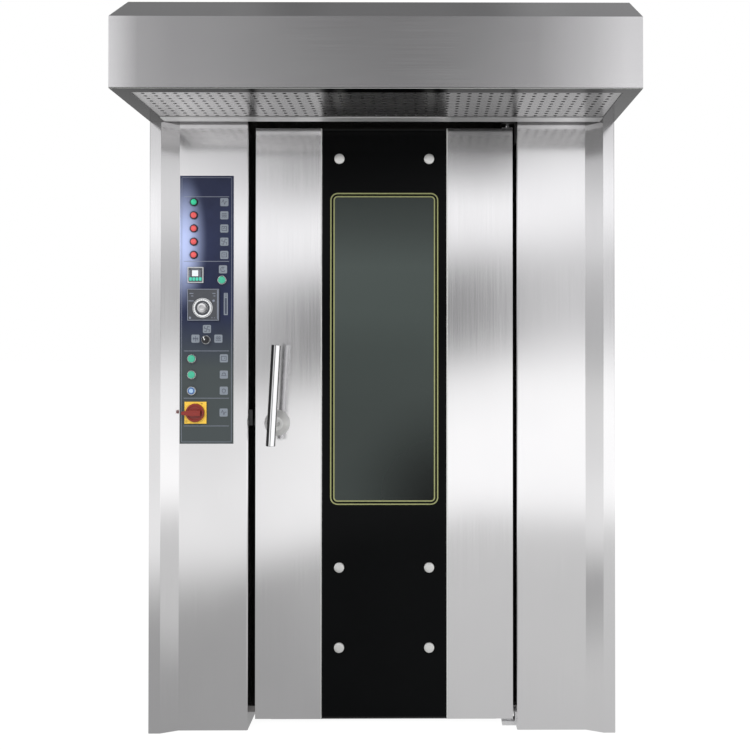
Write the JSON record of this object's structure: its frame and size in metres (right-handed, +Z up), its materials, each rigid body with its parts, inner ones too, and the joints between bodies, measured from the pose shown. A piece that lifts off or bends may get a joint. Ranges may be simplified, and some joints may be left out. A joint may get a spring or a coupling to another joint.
{
  "type": "rotating rack oven",
  "caption": "Upright rack oven with a canopy hood, a glazed hinged door, a control plate in the left column, a turning rack carrier and a heated rear plenum.",
  "frame": {"origin": "on the floor under the middle of the whole footprint, hood included", "axes": "+Z up, the front with its door faces -Y, +X is to the right of someone facing the front"},
  "size_m": [1.4, 2.2, 2.3252],
  "materials": {
    "brushed_stainless": "fine vertical brushing, soft sheen",
    "mirror_stainless": "bright annealed, nearly mirror-like",
    "galvanised": "plain galvanised sheet",
    "liner_steel": "matt heat-resisting sheet",
    "mineral_wool": "pressed mineral wool",
    "heater_steel": "dark oxidised",
    "cast_iron": "rough cast",
    "motor_paint": "satin enamel",
    "polished_steel": "polished",
    "satin_steel": "satin turned",
    "brass": "plain",
    "black_glass": "black enamelled with a clear tinted window",
    "clear_glass": "clear heat-resisting",
    "lamp_glass": "frosted",
    "seal_rubber": "matt black silicone",
    "navy_plate": "glossy printed plate",
    "pilot_lens": "domed red and green lenses",
    "grey_plastic": "matt moulded",
    "dark_plastic": "matt moulded",
    "green_plastic": "glossy moulded",
    "blue_plastic": "glossy moulded",
    "white_plastic": "glossy moulded",
    "yellow_plastic": "glossy moulded",
    "red_plastic": "glossy moulded",
    "painted_box": "powder coat"
  },
  "bodies": {
    "cabinet": {"base_rails": "galvanised", "chamber_floor": "liner_steel", "threshold": "brushed_stainless", "left_column": "brushed_stainless", "right_column": "brushed_stainless", "side_panels": "brushed_stainless", "rear_panel": "galvanised", "service_cover": "galvanised", "roof_panel": "galvanised", "header_panel": "brushed_stainless", "hood_shell": "brushed_stainless", "hood_filter": "mirror_stainless", "hood_gutter": "mirror_stainless", "door_frame": "liner_steel", "front_liner": "liner_steel", "liner_walls": "liner_steel", "ceiling": "liner_steel", "wall_insulation": "mineral_wool", "roof_insulation": "mineral_wool", "air_outlet_wall": "liner_steel", "heater_elements": "heater_steel", "heater_racks": "liner_steel", "fan_plate": "liner_steel", "fan_motor": "motor_paint", "steam_cascade": "cast_iron", "water_feed": "brass", "steam_duct": "galvanised", "hood_exhaust": "galvanised", "gear_motor": "motor_paint", "bearing_housing": "cast_iron", "chamber_lamps": "lamp_glass", "control_box": "painted_box", "control_plate": "navy_plate", "pilot_lamps": "pilot_lens", "timer": "grey_plastic", "thermostat": "dark_plastic", "main_switch": "yellow_plastic", "button_units": "polished_steel", "hinge_brackets": "satin_steel", "latch_keeper": "satin_steel"},
    "door": {"door_pan": "brushed_stainless", "door_claddings": "brushed_stainless", "door_glass": "black_glass", "stand_off_caps": "polished_steel", "door_insulation": "mineral_wool", "inner_panel": "liner_steel", "inner_pane": "clear_glass", "door_seals": "seal_rubber", "rosette": "satin_steel"},
    "handle": {"door_handle": "polished_steel"},
    "carrier": {"rack_carrier": "satin_steel"},
    "fan": {"fan_wheel": "satin_steel"},
    "damper": {"steam_damper": "satin_steel"},
    "start_button": {"start_button": "green_plastic"},
    "upper_button": {"upper_button": "green_plastic"},
    "middle_button": {"middle_button": "green_plastic"},
    "lower_button": {"lower_button": "blue_plastic"},
    "selector": {"selector_knob": "dark_plastic"},
    "dial": {"thermostat_dial": "white_plastic"},
    "main_knob": {"main_switch_knob": "red_plastic"}
  },
  "joints": [
    {"name": "door_swing", "type": "hinge", "parent": "cabinet", "child": "door", "pos_m": [0.385, -0.618, 0.92], "axis": [0, 0, 1], "range_deg": [0, 95]},
    {"name": "handle_turn", "type": "hinge", "parent": "door", "child": "handle", "pos_m": [-0.325, -0.63, 0.923], "axis": [0, 1, 0], "range_deg": [0, 90]},
    {"name": "carrier_spin", "type": "hinge", "parent": "cabinet", "child": "carrier", "pos_m": [0, 0.105, 2], "axis": [0, 0, 1], "continuous": true},
    {"name": "fan_spin", "type": "hinge", "parent": "cabinet", "child": "fan", "pos_m": [0, 0.8375, 1.9], "axis": [0, 0, 1], "continuous": true},
    {"name": "damper_turn", "type": "hinge", "parent": "cabinet", "child": "damper", "pos_m": [0.348, 0.105, 2.15], "axis": [1, 0, 0], "range_deg": [0, 90]},
    {"name": "start_button_press", "type": "slide", "parent": "cabinet", "child": "start_button", "axis": [0, 1, 0], "range_m": [0, 0.003], "stiffness_N_per_m": 400},
    {"name": "upper_button_press", "type": "slide", "parent": "cabinet", "child": "upper_button", "axis": [0, 1, 0], "range_m": [0, 0.003], "stiffness_N_per_m": 400},
    {"name": "middle_button_press", "type": "slide", "parent": "cabinet", "child": "middle_button", "axis": [0, 1, 0], "range_m": [0, 0.003], "stiffness_N_per_m": 400},
    {"name": "lower_button_press", "type": "slide", "parent": "cabinet", "child": "lower_button", "axis": [0, 1, 0], "range_m": [0, 0.003], "stiffness_N_per_m": 400},
    {"name": "selector_turn", "type": "hinge", "parent": "cabinet", "child": "selector", "pos_m": [-0.53297, -0.679, 1.17786], "axis": [0, 1, 0], "range_deg": [-45, 45]},
    {"name": "dial_turn", "type": "hinge", "parent": "cabinet", "child": "dial", "pos_m": [-0.54299, -0.679, 1.27411], "axis": [0, 1, 0], "range_deg": [0, 270]},
    {"name": "main_switch_turn", "type": "hinge", "parent": "cabinet", "child": "main_knob", "pos_m": [-0.56408, -0.679, 0.95808], "axis": [0, 1, 0], "range_deg": [0, 90]}
  ]
}
